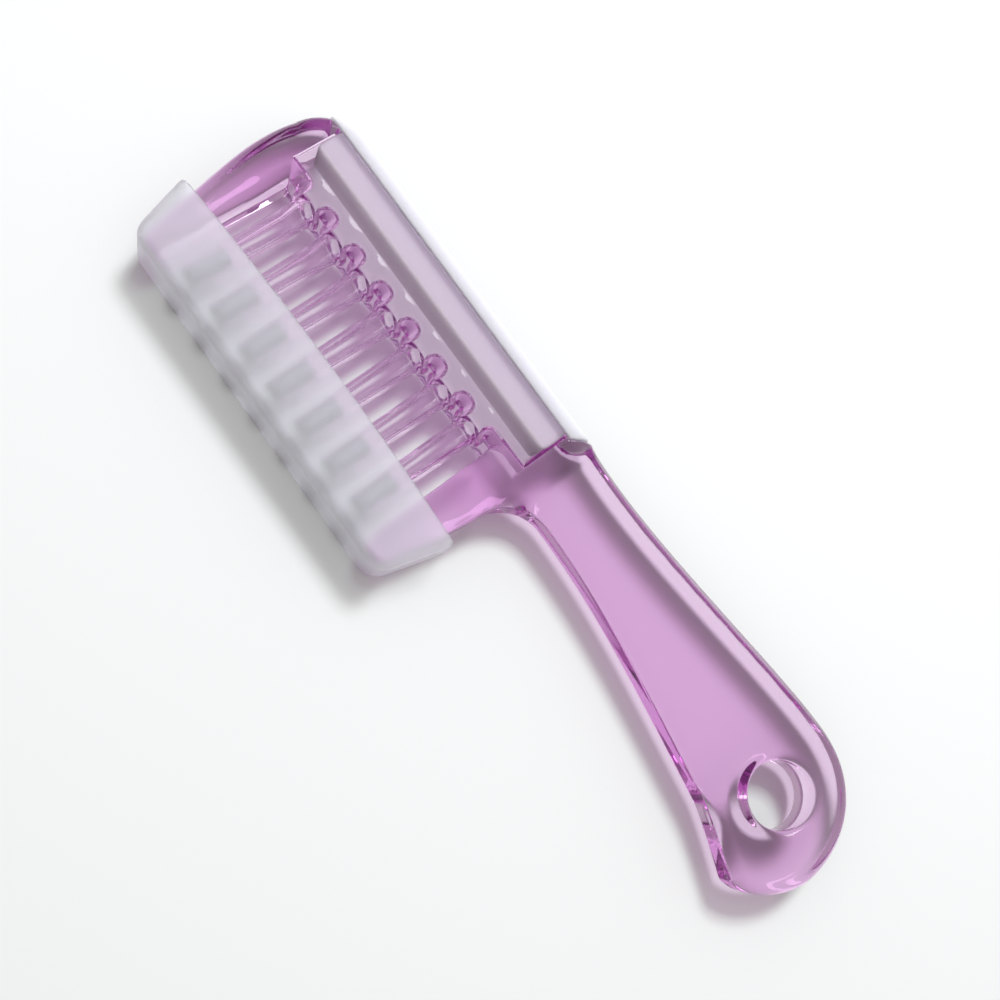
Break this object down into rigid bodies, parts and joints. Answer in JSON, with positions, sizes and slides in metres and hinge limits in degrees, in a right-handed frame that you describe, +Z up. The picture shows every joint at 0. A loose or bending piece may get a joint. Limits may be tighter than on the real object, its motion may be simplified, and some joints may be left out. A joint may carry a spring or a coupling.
{
  "type": "scalp_massage_comb",
  "caption": "Clear lavender scalp massage comb with a liquid tank in its head, hollow teeth tipped with steel roller balls, a soft white lid and a frosted tooth cover",
  "frame": {"origin": "under the middle of the comb's outline, on the level that it lies on", "axes": "+X from the head to the end of the handle, +Y from the tooth tips to the spine, +Z up through the thickness"},
  "size_m": [0.1902, 0.0584, 0.013],
  "materials": {
    "clear_lavender": "clear gloss",
    "white_silicone": "satin",
    "frosted_white": "frosted",
    "soft_grey": "satin",
    "spring_wire": "drawn wire",
    "polished_steel": "polished"
  },
  "bodies": {
    "comb": {"comb_body": "clear_lavender", "ball_holder_1": "soft_grey", "ball_holder_2": "soft_grey", "ball_holder_3": "soft_grey", "ball_holder_4": "soft_grey", "ball_holder_5": "soft_grey", "ball_holder_6": "soft_grey", "ball_holder_7": "soft_grey"},
    "lid": {"tank_lid": "white_silicone"},
    "cover": {"tooth_cover": "frosted_white"},
    "press_1": {"ball_spring_1": "spring_wire"},
    "ball_1": {"roller_ball_1": "polished_steel"},
    "press_2": {"ball_spring_2": "spring_wire"},
    "ball_2": {"roller_ball_2": "polished_steel"},
    "press_3": {"ball_spring_3": "spring_wire"},
    "ball_3": {"roller_ball_3": "polished_steel"},
    "press_4": {"ball_spring_4": "spring_wire"},
    "ball_4": {"roller_ball_4": "polished_steel"},
    "press_5": {"ball_spring_5": "spring_wire"},
    "ball_5": {"roller_ball_5": "polished_steel"},
    "press_6": {"ball_spring_6": "spring_wire"},
    "ball_6": {"roller_ball_6": "polished_steel"},
    "press_7": {"ball_spring_7": "spring_wire"},
    "ball_7": {"roller_ball_7": "polished_steel"}
  },
  "joints": [
    {"name": "lid_pull", "type": "slide", "parent": "comb", "child": "lid", "axis": [0, 1, 0], "range_m": [0, 0.012]},
    {"name": "cover_pull", "type": "slide", "parent": "comb", "child": "cover", "axis": [0, -1, 0], "range_m": [0, 0.02]},
    {"name": "ball_press_1", "type": "slide", "parent": "comb", "child": "press_1", "axis": [0, 1, 0], "range_m": [0, 0.0008], "stiffness_N_per_m": 200, "springref_m": -0.002, "deforming": ["ball_spring_1"]},
    {"name": "ball_roll_1", "type": "hinge", "parent": "press_1", "child": "ball_1", "pos_m": [-0.07801, -0.023, 0.0065], "axis": [1, 0, 0], "continuous": true},
    {"name": "ball_press_2", "type": "slide", "parent": "comb", "child": "press_2", "axis": [0, 1, 0], "range_m": [0, 0.0008], "stiffness_N_per_m": 200, "springref_m": -0.002, "deforming": ["ball_spring_2"]},
    {"name": "ball_roll_2", "type": "hinge", "parent": "press_2", "child": "ball_2", "pos_m": [-0.06861, -0.023, 0.0065], "axis": [1, 0, 0], "continuous": true},
    {"name": "ball_press_3", "type": "slide", "parent": "comb", "child": "press_3", "axis": [0, 1, 0], "range_m": [0, 0.0008], "stiffness_N_per_m": 200, "springref_m": -0.002, "deforming": ["ball_spring_3"]},
    {"name": "ball_roll_3", "type": "hinge", "parent": "press_3", "child": "ball_3", "pos_m": [-0.05921, -0.023, 0.0065], "axis": [1, 0, 0], "continuous": true},
    {"name": "ball_press_4", "type": "slide", "parent": "comb", "child": "press_4", "axis": [0, 1, 0], "range_m": [0, 0.0008], "stiffness_N_per_m": 200, "springref_m": -0.002, "deforming": ["ball_spring_4"]},
    {"name": "ball_roll_4", "type": "hinge", "parent": "press_4", "child": "ball_4", "pos_m": [-0.04981, -0.023, 0.0065], "axis": [1, 0, 0], "continuous": true},
    {"name": "ball_press_5", "type": "slide", "parent": "comb", "child": "press_5", "axis": [0, 1, 0], "range_m": [0, 0.0008], "stiffness_N_per_m": 200, "springref_m": -0.002, "deforming": ["ball_spring_5"]},
    {"name": "ball_roll_5", "type": "hinge", "parent": "press_5", "child": "ball_5", "pos_m": [-0.04041, -0.023, 0.0065], "axis": [1, 0, 0], "continuous": true},
    {"name": "ball_press_6", "type": "slide", "parent": "comb", "child": "press_6", "axis": [0, 1, 0], "range_m": [0, 0.0008], "stiffness_N_per_m": 200, "springref_m": -0.002, "deforming": ["ball_spring_6"]},
    {"name": "ball_roll_6", "type": "hinge", "parent": "press_6", "child": "ball_6", "pos_m": [-0.03101, -0.023, 0.0065], "axis": [1, 0, 0], "continuous": true},
    {"name": "ball_press_7", "type": "slide", "parent": "comb", "child": "press_7", "axis": [0, 1, 0], "range_m": [0, 0.0008], "stiffness_N_per_m": 200, "springref_m": -0.002, "deforming": ["ball_spring_7"]},
    {"name": "ball_roll_7", "type": "hinge", "parent": "press_7", "child": "ball_7", "pos_m": [-0.02161, -0.023, 0.0065], "axis": [1, 0, 0], "continuous": true}
  ]
}
